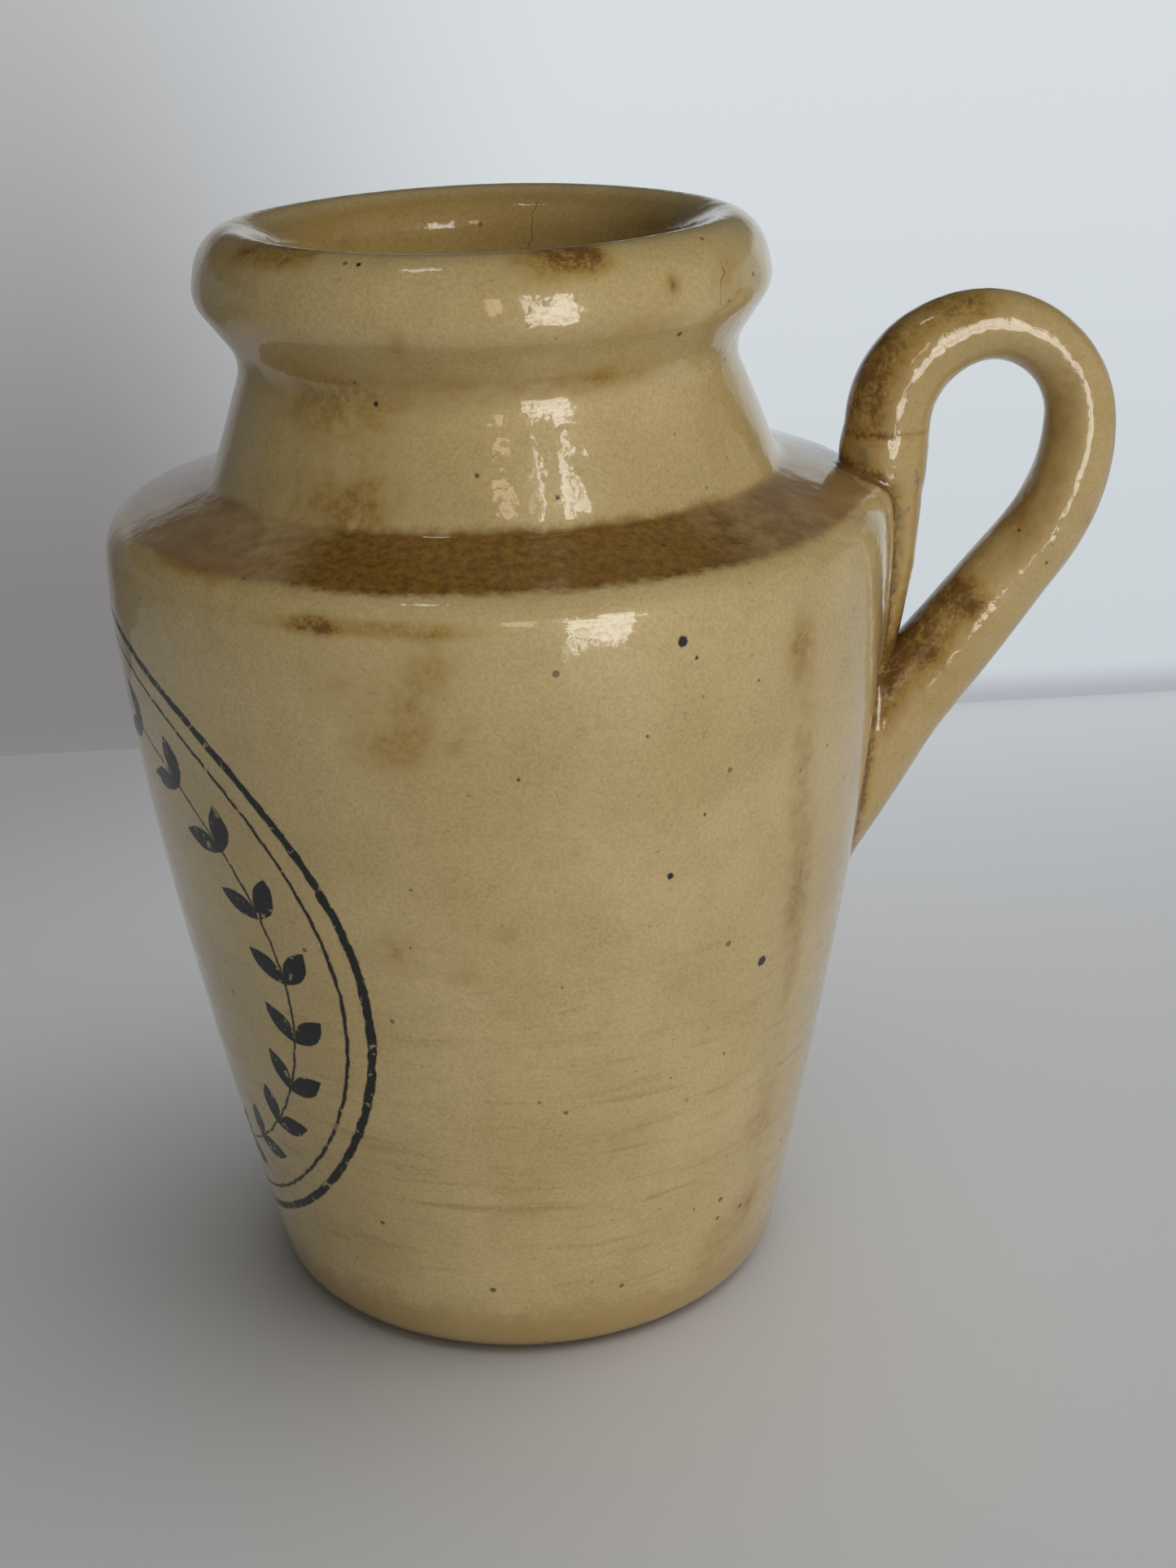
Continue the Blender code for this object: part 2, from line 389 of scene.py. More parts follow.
def unit(vector):
    """The vector at a length of 1."""
    return vector / np.linalg.norm(vector)


def smooth(value, low, high):
    """0 below low, 1 above high and an even S between them."""
    share = np.clip((value - low) / (high - low), 0.0, 1.0)
    return share * share * (3.0 - 2.0 * share)


def between(value, start, full, leave, end):
    """1 from full to leave, and eased to 0 at start and at end."""
    return smooth(value, start, full) * (1 - smooth(value, leave, end))


def add_object(name, data):
    """A new object in the scene that holds the data."""
    item = bpy.data.objects.new(name, data)
    bpy.context.scene.collection.objects.link(item)
    return item


# ---------------- vessel shape


def rounded(corners):
    """Points along (radius, height, rounding) corners, with an arc at each rounded one."""
    points = []
    for index, (radius, height, rounding) in enumerate(corners):
        corner = np.array((radius, height))
        if rounding == 0:
            points.append(corner)
            continue
        before = unit(np.array(corners[index - 1][:2]) - corner)
        after = unit(np.array(corners[index + 1][:2]) - corner)
        half = math.acos(before @ after) / 2
        centre = corner + unit(before + after) * rounding / math.sin(half)
        first = corner + before * rounding / math.tan(half) - centre
        last = corner + after * rounding / math.tan(half) - centre
        sweep = math.acos(first @ last / rounding**2)
        for share in np.linspace(0, 1, ARC_POINTS):
            ends = first * math.sin(sweep * (1 - share)) + last * math.sin(sweep * share)
            points.append(centre + ends / math.sin(sweep))
    return np.array(points)


def wall_radius(height):
    """The outside of the wall, which swells from the foot to its widest a little under the shoulder."""
    share = abs(1 - height / WIDEST_HEIGHT)
    return WIDEST_RADIUS - (WIDEST_RADIUS - FOOT_RADIUS) * share**WALL_CURVE


def wall_corners(first, last, inset):
    """Corners up the wall between two heights, moved towards the axis by the inset."""
    heights = np.linspace(first, last, WALL_SPANS + 1)
    return [(wall_radius(height) - inset, height, 0) for height in heights]


def outer_corners():
    """The outside, from the foot's middle up to the bead's crest."""
    wall = wall_corners(WALL_STARTS, WALL_ENDS, 0)
    return [(0, 0, 0), (FOOT_RADIUS, 0, FOOT_ROUND), *wall, SHOULDER, NECK_BASE, GROOVE, BEAD, LIP, CREST]


def inside_corner(corner, rounding):
    """A corner of the outside, moved in and down by the wall's thickness, with a rounding of its own."""
    return corner[0] - WALL, corner[1] - WALL, rounding


def inner_corners():
    """The inside, from the lip down to the floor's middle."""
    neck = inside_corner(NECK_BASE, INSIDE_NECK_ROUND)
    shoulder = inside_corner(SHOULDER, INSIDE_SHOULDER_ROUND)
    wall = reversed(wall_corners(INSIDE_STARTS, INSIDE_ENDS, WALL))
    floor_edge = (wall_radius(FLOOR) - WALL, FLOOR, FLOOR_ROUND)
    return [MOUTH, THROAT, neck, shoulder, *wall, floor_edge, (0, FLOOR, 0)]


def spaced(points, spacing):
    """The same line with evenly spaced points."""
    steps = np.linalg.norm(np.diff(points, axis=0), axis=1)
    travelled = np.concatenate(([0.0], np.cumsum(steps)))
    places = np.linspace(0, travelled[-1], math.ceil(travelled[-1] / spacing) + 1)
    return np.stack([np.interp(places, travelled, column) for column in points.T], axis=1)


def vessel_outline():
    """(radius, height) from the foot's middle, up the outside, over the rim and down to the floor."""
    outline = rounded(outer_corners() + inner_corners())
    crest = int(np.argmax(outline[:, 1]))
    foot_edge = int(np.argmax(outline[:, 0] > FOOT_RADIUS - FOOT_ROUND * 1.2))
    floor_edge = len(outline) - ARC_POINTS - 1
    sections = (
        (0, foot_edge, HIDDEN_SPACING),
        (foot_edge, crest, OUTSIDE_SPACING),
        (crest, floor_edge, INSIDE_SPACING),
        (floor_edge, len(outline) - 1, INSIDE_SPACING),
    )
    parts = [spaced(outline[start : end + 1], spacing)[:-1] for start, end, spacing in sections]
    return np.concatenate(parts + [outline[-1:]])


def throwing_rings(outline):
    """Moves the outline in by the shallow rings that the potter's fingers leave, strongest inside."""
    radius, height = outline.T
    outside = np.arange(len(outline)) < np.argmax(height)
    outside_depth = OUTSIDE_RING_DEPTH * between(height, *OUTSIDE_RINGS)
    inside_depth = INSIDE_RING_DEPTH * between(height, *INSIDE_RINGS)
    wandering = height + RING_WANDER * np.sin(height / RING_WANDER_LENGTH)
    wave = 0.5 + 0.5 * np.cos(2 * math.pi * wandering / RING_SPACING)
    depth = np.where(outside, outside_depth, -inside_depth)
    return np.stack([radius - depth * wave, height], axis=1)


def handmade(points):
    """The jug's small departures from a true turned form, the same for every piece, so they still meet."""
    x, y, z = points.T
    radius = np.hypot(x, y)
    angle = np.arctan2(y, x)
    above = smooth(z, 86, 108) * (1 - smooth(radius, 31, 37))
    oval = OVAL_DEPTH * (1 + np.cos(2 * angle + OVAL_TURN))
    lobes = LOBE_DEPTH * (1 + np.cos(3 * angle + LOBE_TURN + z / LOBE_TWIST_LENGTH))
    inset = (LEAST_INSET + (oval + lobes) * smooth(z, 2, 20)) * between(radius, 8, 20, 39, 44)
    scale = 1 - inset / np.maximum(radius, 1)
    lean = RIM_LEAN * above
    dip = SAG_DEPTH * smooth(z, 60, 100) + RIM_DIP_DEPTH * above * (1 + np.sin(3 * angle + RIM_DIP_TURN))
    return np.stack([x * scale + lean, y * scale, z - dip], axis=1)


def ring_faces(rings, sides):
    """Quads between rings of points that are listed one ring after another."""
    here = np.arange(sides)
    after = (here + 1) % sides
    faces = []
    for ring in range(rings - 1):
        low = ring * sides
        high = low + sides
        faces.append(np.stack([low + here, low + after, high + after, high + here], axis=1))
    return np.concatenate(faces)


def turned_mesh(outline):
    """Vertices and faces of a closed form turned about Z. The outline starts and ends on the axis."""
    rings = outline[1:-1]
    angles = 2 * math.pi * np.arange(TURN_STEPS) / TURN_STEPS
    circle = np.stack([np.cos(angles), np.sin(angles)], axis=1)
    flat = rings[:, None, 0, None] * circle[None]
    tall = np.broadcast_to(rings[:, None, 1, None], (*flat.shape[:2], 1))
    around = np.concatenate([flat, tall], axis=2).reshape(-1, 3)
    bottom = len(around)
    top = bottom + 1
    vertices = np.concatenate([around, [(0, 0, outline[0, 1])], [(0, 0, outline[-1, 1])]])
    faces = ring_faces(len(rings), TURN_STEPS).tolist()
    last = (len(rings) - 1) * TURN_STEPS
    edges = [(step, (step + 1) % TURN_STEPS) for step in range(TURN_STEPS)]
    faces += [[bottom, b, a] for a, b in edges]
    faces += [[last + a, last + b, top] for a, b in edges]
    return vertices, faces


# ---------------- handle shape


def rope_line():
    """Arrays of x, z, heading and length so far, along the middle of the rope."""
    x, z = ROPE_START
    heading = math.radians(ROPE_LEAN)
    travelled = 0.0
    line = [(x, z, heading, travelled)]
    for length, turn in ROPE_STRETCHES:
        count = math.ceil(length / ROPE_STEP)
        step = length / count
        bend = math.radians(turn) / count
        for _ in range(count):
            x += step * math.cos(heading + bend / 2)
            z += step * math.sin(heading + bend / 2)
            heading += bend
            travelled += step
            line.append((x, z, heading, travelled))
    return np.array(line)


def rope_radius(travelled):
    """The rope's radius along it, eased between the listed stations."""
    places, radii = np.array(ROPE_RADII).T
    offsets = np.linspace(-4, 4, 9)
    return np.mean([np.interp(travelled + offset, places, radii) for offset in offsets], axis=0)


def rope_mesh():
    """Vertices and faces of the rope, closed at both ends."""
    x, z, heading, travelled = rope_line().T
    turns = 2 * math.pi * np.arange(ROPE_SIDES) / ROPE_SIDES
    free = between(travelled, *ROPE_FREE)
    sway = ROPE_SWAY * free * np.sin(travelled / ROPE_SWAY_LENGTH + ROPE_SWAY_TURN)
    radius = rope_radius(travelled)
    flat = ROPE_FLAT * free[:, None] * np.cos(2 * turns[None] + travelled[:, None] / ROPE_FLAT_LENGTH)
    knead = ROPE_KNEAD * free[:, None] * np.sin(3 * turns[None] - travelled[:, None] / ROPE_KNEAD_LENGTH)
    reach = radius[:, None] * (1 - ROPE_THIN * free[:, None] + flat + knead)
    out = reach * np.cos(turns)[None]
    points = np.stack(
        [
            x[:, None] - np.sin(heading)[:, None] * out,
            sway[:, None] + reach * np.sin(turns)[None],
            z[:, None] + np.cos(heading)[:, None] * out,
        ],
        axis=2,
    ).reshape(-1, 3)
    start_cap = list(range(ROPE_SIDES))
    end_cap = list(range(len(points) - 1, len(points) - 1 - ROPE_SIDES, -1))
    sides = ring_faces(len(x), ROPE_SIDES)[:, ::-1].tolist()
    return points, [start_cap, *sides, end_cap]


# ---------------- lutes


def chain_distance(points, chain):
    """Signed distance to a chain of round bars in the plane Y = 0, listed as (x, z, radius)."""
    nearest = np.full(len(points), np.inf)
    for first, second in zip(chain, chain[1:]):
        start = np.array((first[0], 0, first[1]))
        along = np.array((second[0], 0, second[1])) - start
        share = np.clip((points - start) @ along / (along @ along), 0, 1)
        gap = np.linalg.norm(points - start - share[:, None] * along, axis=1)
        nearest = np.minimum(nearest, gap - first[2] - (second[2] - first[2]) * share)
    return nearest


def radius_and_height(points):
    return np.stack([np.hypot(points[:, 0], points[:, 1]), points[:, 2]], axis=1)


def outline_distance(points, outline):
    """Signed distance to the turned form of an outline whose outward side is on its right."""
    flat = radius_and_height(points)
    nearest = np.full(len(points), np.inf)
    signed = np.zeros(len(points))
    for start, end in zip(outline, outline[1:]):
        along = end - start
        share = np.clip((flat - start) @ along / (along @ along), 0, 1)
        away = flat - start - share[:, None] * along
        gap = np.linalg.norm(away, axis=1)
        closer = gap < nearest
        side = np.sign(away @ np.array((along[1], -along[0])))
        signed = np.where(closer, gap * side, signed)
        nearest = np.minimum(nearest, gap)
    return signed


def blended(first, second, width):
    """The lower of two distances, with a fillet of about that width where they meet."""
    near = np.maximum(width - np.abs(first - second), 0) / width
    return np.minimum(first, second) - near * near * width / 4


def surface_net(values, low, cell):
    """Vertices and quads of the closed surface where the values on a regular grid change sign."""
    shape = np.array(values.shape) - 1
    total = np.zeros((shape.prod(), 3))
    count = np.zeros(shape.prod())
    quads = []
    for axis in range(3):
        first = np.take(values, np.arange(shape[axis]), axis)
        second = np.take(values, np.arange(1, shape[axis] + 1), axis)
        places = np.argwhere((first < 0) != (second < 0))
        near = first[tuple(places.T)]
        far = second[tuple(places.T)]
        crossing = places.astype(float)
        crossing[:, axis] += near / (near - far)
        step_one, step_two = np.eye(3, dtype=int)[[(axis + 1) % 3, (axis + 2) % 3]]
        around = [places - step_one - step_two, places - step_two, places, places - step_one]
        corners = np.stack([np.ravel_multi_index(tuple(c.T), shape) for c in around], axis=1)
        for corner in corners.T:
            count += np.bincount(corner, minlength=len(count))
            for column in range(3):
                total[:, column] += np.bincount(corner, crossing[:, column], minlength=len(count))
        quads.append(np.where((near < 0)[:, None], corners, corners[:, ::-1]))
    used = np.flatnonzero(count)
    number = np.zeros(len(count), dtype=int)
    number[used] = np.arange(len(used))
    vertices = low + total[used] / count[used, None] * cell
    return vertices, number[np.concatenate(quads)].tolist()


def settled(vertices, field):
    """Moves each vertex along the field's slope onto the surface where the field is zero."""
    reach = SETTLE_REACH
    for _ in range(SETTLE_ROUNDS):
        value = field(vertices)
        changes = [field(vertices + reach * axis) - field(vertices - reach * axis) for axis in np.eye(3)]
        slope = np.stack(changes, axis=1) / (2 * reach)
        steepness = np.maximum((slope**2).sum(1), LEAST_STEEPNESS)
        vertices = vertices - SETTLE_SHARE * value[:, None] * slope / steepness[:, None]
    return vertices


def lute_mesh(node, field):
    """The closed surface of a field round one CAD lute, in millimetres."""
    low, high = (np.array(corner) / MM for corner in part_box(node))
    low = low - LUTE_MARGIN
    high = high + LUTE_MARGIN
    grid = [np.arange(start, end, LUTE_CELL) for start, end in zip(low, high)]
    points = np.stack(np.meshgrid(*grid, indexing="ij"), axis=-1)
    values = field(points.reshape(-1, 3)).reshape(points.shape[:3])
    values[[0, -1]] = values[:, [0, -1]] = values[:, :, [0, -1]] = 1.0
    vertices, faces = surface_net(values, low, LUTE_CELL)
    return settled(vertices, field), faces


def rope_chain(start, end):
    """The rope's middle between two lengths along it, as (x, z, radius) points two steps apart."""
    line = rope_line()
    line = line[(line[:, 3] >= start) & (line[:, 3] <= end)][::2]
    return [(x, z, radius) for (x, z, _, _), radius in zip(line, rope_radius(line[:, 3]))]


def outline_table(outline):
    """A quick stand-in for outline_distance near the lutes, read from a grid of radius and height."""
    low = outline.min(axis=0) - 3.0
    high = outline.max(axis=0) + 6.0
    radii, heights = (np.arange(start, end, TABLE_CELL) for start, end in zip(low, high))
    grid = np.stack(np.meshgrid(radii, heights, indexing="ij"), axis=-1).reshape(-1, 2)
    flat = np.stack([grid[:, 0], np.zeros(len(grid)), grid[:, 1]], axis=1)
    table = outline_distance(flat, outline).reshape(len(radii), len(heights))

    def read(points):
        place = (radius_and_height(points) - low) / TABLE_CELL
        place = np.clip(place, 0, np.array(table.shape) - 1.001)
        column, row = place.astype(int).T
        right, up = (place % 1).T
        lower = table[column, row] * (1 - right) + table[column + 1, row] * right
        upper = table[column, row + 1] * (1 - right) + table[column + 1, row + 1] * right
        return lower * (1 - up) + upper * up

    return read


def upper_lute_field(wall_distance):
    """The rope's end dressed down the wall, with a thin smear of clay pressed out on both sides of it."""
    rope = rope_chain(*UPPER_ROPE)

    def field(points):
        wall = wall_distance(points)
        arm = chain_distance(points, rope)
        tail = chain_distance(points, TAIL_POINTS)
        core = blended(arm, tail, ROPE_BLEND)
        rise = (SMEAR_THICK + SMEAR_SINK) * (1 - smooth(core, SMEAR_NEAR, SMEAR_FAR))
        height = points[:, 2]
        smear = wall + SMEAR_SINK - rise * smooth(height, *SMEAR_BOTTOM) * smooth(height, *SMEAR_TOP)
        clay = blended(core, smear, UPPER_BLEND)
        skin = blended(wall, clay, UPPER_BLEND) + LUTE_SINK
        near_wall = np.minimum(wall, tail) - LUTE_REACH
        inside = np.maximum(-wall, -arm) - LUTE_DEPTH
        return np.max([skin, inside, near_wall, core - SMEAR_EDGE], axis=0)

    return field


def lower_lute_field(wall_distance):
    """A fillet of clay round the foot of the rope, stopping at the tail that comes down from above."""
    rope = rope_chain(*LOWER_ROPE)
    reach = LOWER_BLEND * 1.1

    def field(points):
        wall = wall_distance(points)
        arm = chain_distance(points, rope)
        tail = chain_distance(points, TAIL_POINTS)
        skin = blended(wall, arm, LOWER_BLEND) + LUTE_SINK
        inside = np.max([-wall, -arm, -tail], axis=0) - LUTE_DEPTH
        return np.max([skin, inside, wall - reach, arm - reach], axis=0)

    return field


# ---------------- pieces


def pooled_at(vertices, wall_distance):
    """1 in the creases where the handle meets the wall and itself, where glaze runs thick and brown."""
    left, bottom, top = HANDLE_BOX
    near = (vertices[:, 0] > left) & (vertices[:, 2] > bottom) & (vertices[:, 2] < top)
    close = vertices[near]
    wall = np.abs(wall_distance(close))
    upper = chain_distance(close, rope_chain(*UPPER_ROPE))
    upper = np.abs(np.minimum(upper, chain_distance(close, TAIL_POINTS)))
    lower = np.abs(chain_distance(close, rope_chain(*LOWER_ROPE)))
    pairs = (wall, upper, UPPER_CREASE), (wall, lower, LOWER_CREASE), (upper, lower, ROPE_CREASE)
    creases = [np.maximum(first, second) / width for first, second, width in pairs]
    pooled = np.zeros(len(vertices))
    pooled[near] = np.exp(-np.min(creases, axis=0) ** 2)
    return pooled


def stains_and_shade_at(vertices, wall_distance, slot):
    """How stained the glaze is at each vertex of the vessel or of the handle and its clay, with painted
    shade in some of the handle's stains.
    """
    x, y, z = vertices.T
    radius = np.hypot(x, y)
    angle = np.degrees(np.arctan2(y, x))
    on_body = slot == "body_glaze"
    spots_and_shade = np.zeros(len(vertices))
    for place, height, half_width, half_height, strength in STAINS if on_body else HANDLE_STAINS_AND_SHADE:
        gap = np.radians((angle - place + 180) % 360 - 180) * radius if on_body else x - place
        spots_and_shade += strength * np.exp(-((gap / half_width) ** 2) - ((z - height) / half_height) ** 2)
    if on_body:
        spots_and_shade *= smooth(radius, *INSIDE_FOOT)
    return np.maximum(spots_and_shade, CREASE_STAIN * pooled_at(vertices, wall_distance))


def piece(name, mesh, wall_distance, material, slot, node):
    """A shown piece that rides on the jug's one body and stands for a CAD node."""
    vertices, faces = mesh
    data = bpy.data.meshes.new(name)
    data.from_pydata((handmade(vertices) * MM).tolist(), [], faces)
    stain_and_shade = data.attributes.new("stain_and_shade", "FLOAT", "POINT")
    stain_and_shade.data.foreach_set("value", stains_and_shade_at(vertices, wall_distance, slot))
    data.validate()
    data.shade_smooth()
    data.materials.append(material)
    item = add_object(name, data)
    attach(item, "root")
    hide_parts(node)
    return item


# ---------------- shader nodes


class Graph:
    """Short ways to add nodes. A value may be a number, a colour or another node's output."""

    def __init__(self, owner):
        owner.use_nodes = True
        self.tree = owner.node_tree

    def feed(self, socket, value):
        if isinstance(value, bpy.types.NodeSocket):
            self.tree.links.new(value, socket)
        else:
            socket.default_value = value

    def node(self, kind, inputs, **settings):
        item = self.tree.nodes.new("ShaderNode" + kind)
        for name, value in settings.items():
            setattr(item, name, value)
        for key, value in inputs.items():
            self.feed(item.inputs[key], value)
        return item

    def fill(self, name, values):
        """Feeds the sockets of a node that is there from the start."""
        for socket, value in values.items():
            self.feed(self.tree.nodes[name].inputs[socket], value)

    def parts(self, vector):
        return self.node("SeparateXYZ", {0: vector}).outputs

    def point(self):
        """Where a point of the object is, in millimetres."""
        place = self.node("TexCoord", {}).outputs["Object"]
        return self.node("VectorMath", {0: place, "Scale": 1 / MM}, operation="SCALE").outputs[0]

    def vector(self, operation, first, second):
        return self.node("VectorMath", {0: first, 1: second}, operation=operation).outputs

    def math(self, operation, *values):
        return self.node("Math", dict(enumerate(values)), operation=operation).outputs[0]

    def times(self, first, second):
        return self.math("MULTIPLY", first, second)

    def scaled(self, first, second, more):
        """The first times the second, plus more."""
        return self.math("MULTIPLY_ADD", first, second, more)

    def minus(self, first, second):
        return self.math("SUBTRACT", first, second)

    def step(self, value, low, high, first=0.0, last=1.0):
        """An even S from the first value at low to the last value at high."""
        ends = {0: value, 1: low, 2: high, 3: first, 4: last}
        return self.node("MapRange", ends, interpolation_type="SMOOTHSTEP").outputs[0]

    def between(self, value, start, full, leave, end):
        """1 from full to leave, and eased to 0 at start and at end."""
        return self.times(self.step(value, start, full), self.step(value, end, leave))

    def mix(self, share, first, second, blend="MIX"):
        """From the first colour to the second as the share goes from 0 to 1."""
        ends = {0: share, 6: first, 7: second}
        return self.node("Mix", ends, data_type="RGBA", blend_type=blend).outputs[2]

    def noise(self, place, size, detail=2.0, roughness=0.5):
        """0 to 1, in lumps of about this size, in the units of the place."""
        inputs = {"Vector": place, "Scale": 1 / size, "Detail": detail, "Roughness": roughness}
        return self.node("TexNoise", inputs).outputs[0]

    def stretched(self, place, along, up):
        """The place squeezed, so that noise read from it is longer in one direction."""
        return self.vector("MULTIPLY", place, (along, along, up))[0]

    def line(self, distance, half, soft):
        """1 where the distance from a line's middle is under half its width."""
        return self.step(self.math("ABSOLUTE", distance), half + soft, half - soft)

    def highest(self, first, *others):
        for other in others:
            first = self.math("MAXIMUM", first, other)
        return first


class Places:
    """Where a point of the object is, in millimetres and degrees, as node outputs."""

    def __init__(self, graph):
        self.graph = graph
        self.point = graph.point()
        self.x, self.y, self.z = graph.parts(self.point)
        squares = graph.math("ADD", graph.times(self.x, self.x), graph.times(self.y, self.y))
        self.radius = graph.math("SQRT", squares)
        self.angle = graph.math("DEGREES", graph.math("ARCTAN2", self.y, self.x))
        self.from_front = graph.math("ARCTAN2", self.y, graph.times(self.x, -1.0))

    def noise(self, *values):
        return self.graph.noise(self.point, *values)


# ---------------- what is printed and painted


def leaf(graph, along, side, tilt, length, width):
    """1 inside one lens-shaped leaf whose root is at the origin."""
    turn = math.radians(tilt)
    lengthwise = graph.times(along, math.cos(turn) / length)
    lengthwise = graph.scaled(side, math.sin(turn) / length, lengthwise)
    crosswise = graph.times(along, -math.sin(turn))
    crosswise = graph.scaled(side, math.cos(turn), crosswise)
    belly = graph.times(lengthwise, graph.minus(1.0, lengthwise))
    off_middle = graph.math("ABSOLUTE", crosswise)
    edge = graph.scaled(belly, 4 * width, graph.times(off_middle, -1.0))
    return graph.step(edge, -0.08, 0.08)


def ornament(graph, places):
    """A printed oval frame with a leafy wreath and a small flower, on the side away from the handle."""
    across = graph.times(places.from_front, PRINT_RADIUS)
    up = graph.minus(places.z, PRINT_HEIGHT)
    wobble = places.noise(1.4)
    flat_across = graph.math("DIVIDE", across, PRINT_HALF_WIDTH)
    flat_up = graph.math("DIVIDE", up, PRINT_HALF_HEIGHT)
    half = graph.math("ABSOLUTE", flat_across)
    squares = graph.scaled(half, half, graph.times(flat_up, flat_up))
    mean_radius = (PRINT_HALF_WIDTH + PRINT_HALF_HEIGHT) / 2
    away = graph.times(graph.minus(graph.math("SQRT", squares), 1.0), mean_radius)
    away = graph.math("ADD", away, graph.scaled(wobble, 0.5, -0.25))
    theta = graph.math("ARCTAN2", flat_up, half)
    stitches = graph.math("SINE", graph.times(theta, 90.0))
    outer = graph.line(away, 0.44, 0.12)
    inner = graph.line(graph.math("ADD", away, 2.4), 0.2, 0.1)
    beads = graph.step(graph.scaled(stitches, 0.28, graph.line(away, 0.5, 0.2)), 0.85, 1.05)
    pairs = graph.times(theta, LEAF_PAIRS / math.pi)
    cell = graph.minus(graph.math("FRACT", pairs), 0.5)
    leaf_step = math.pi * (mean_radius - WREATH_INSET) / LEAF_PAIRS
    along = graph.scaled(cell, leaf_step, 1.9)
    stem_gap = graph.math("ADD", away, WREATH_INSET)
    leaves = leaf(graph, along, graph.math("ABSOLUTE", stem_gap), 40.0, 5.0, 1.15)
    stem = graph.line(stem_gap, 0.15, 0.1)
    open_ends = graph.step(graph.math("ABSOLUTE", theta), 1.32, 1.30)
    wreath = graph.times(graph.highest(leaves, stem), open_ends)
    reach = graph.math("SQRT", graph.scaled(across, across, graph.times(up, up)))
    petals = graph.times(graph.math("ARCTAN2", up, across), 2.5)
    petals = graph.scaled(graph.math("ABSOLUTE", graph.math("COSINE", petals)), 4.2, 3.6)
    flower = graph.line(graph.minus(reach, petals), 0.3, 0.12)
    eye = graph.step(reach, 1.7, 1.4)
    drawn = graph.highest(outer, beads, inner, wreath, flower, eye)
    breaks = graph.step(places.noise(0.9, 3.0), 0.6, 0.68, 1.0, 0.35)
    outside = graph.step(graph.minus(places.radius, wall_line(graph, places)), -3.0, -2.0)
    return graph.times(graph.times(drawn, breaks), outside)


def shoulder_band(graph, places):
    """The brown band brushed on the shoulder: how strong it is, its grain, and 1 at its dark front;
    elsewhere it is patchy, worn on the left and a painted reflection sheen on the right.
    """
    lumps = places.noise(3.2, 3.0)
    grain = places.noise(0.8, 6.0, 0.75)
    shift = graph.scaled(lumps, 1.4, graph.scaled(grain, 0.9, -1.15))
    edge = graph.math("ADD", places.radius, shift)
    patch = graph.times(graph.between(edge, *BAND_RADII), graph.between(places.z, *BAND_HEIGHTS))
    front = graph.between(places.angle, *BAND_FRONT)
    worn_and_sheen = graph.scaled(places.noise(4.0, 4.0, 0.7), 2.2, -0.3)
    strength = graph.math("MINIMUM", graph.math("MAXIMUM", worn_and_sheen, front), 1.0)
    return graph.times(patch, strength), grain, front


def dots(graph, places, cell, biggest, seed):
    """Scattered round dots of mixed sizes, most of them tiny: how dark, and a random value for each."""
    shifted = graph.vector("ADD", places.point, (seed, seed, seed))[0]
    cells = graph.node("TexVoronoi", {"Vector": shifted, "Scale": 1 / cell})
    random, choice, _ = graph.parts(cells.outputs["Color"])
    size = graph.times(graph.math("POWER", random, 4.0), biggest)
    gap = graph.scaled(cells.outputs["Distance"], cell, graph.times(size, -1.0))
    return graph.step(gap, 0.05, -0.05), choice


def iron_specks(graph, places):
    """1 on each of the larger dark specks."""
    nearest = 10.0
    for angle, height, size in SPECKS:
        turn = math.radians(angle)
        radius = speck_radius(height)
        point = (radius * math.cos(turn), radius * math.sin(turn), height)
        gap = graph.vector("DISTANCE", places.point, point)["Value"]
        nearest = graph.math("MINIMUM", nearest, graph.minus(gap, size))
    ragged = graph.scaled(places.noise(0.3), 0.3, -0.15)
    return graph.step(graph.math("ADD", nearest, ragged), 0.12, -0.08)


def speck_radius(height):
    """The radius of the vessel's outside at a height."""
    outline = rounded(outer_corners() + inner_corners())
    outside = outline[: int(np.argmax(outline[:, 1])) + 1]
    return float(np.interp(height, outside[:, 1], outside[:, 0]))


def hairlines(graph, places):
    """Two fine cracks in the rim, one over the bead at the front and one inside at the back."""
    wander = graph.scaled(places.noise(2.2, 3.0), 5.0, -2.5)
    total = 0.0
    for angle, slant, low, high in HAIRLINES:
        middle = graph.scaled(graph.minus(places.z, low), slant, angle)
        gap = graph.minus(graph.math("ADD", places.angle, wander), middle)
        width = graph.line(graph.times(gap, 0.42), 0.06, 0.05)
        span = graph.between(places.z, low, low + 1, high - 1, high)
        total = graph.math("MAXIMUM", total, graph.times(width, span))
    return total


# ---------------- glaze


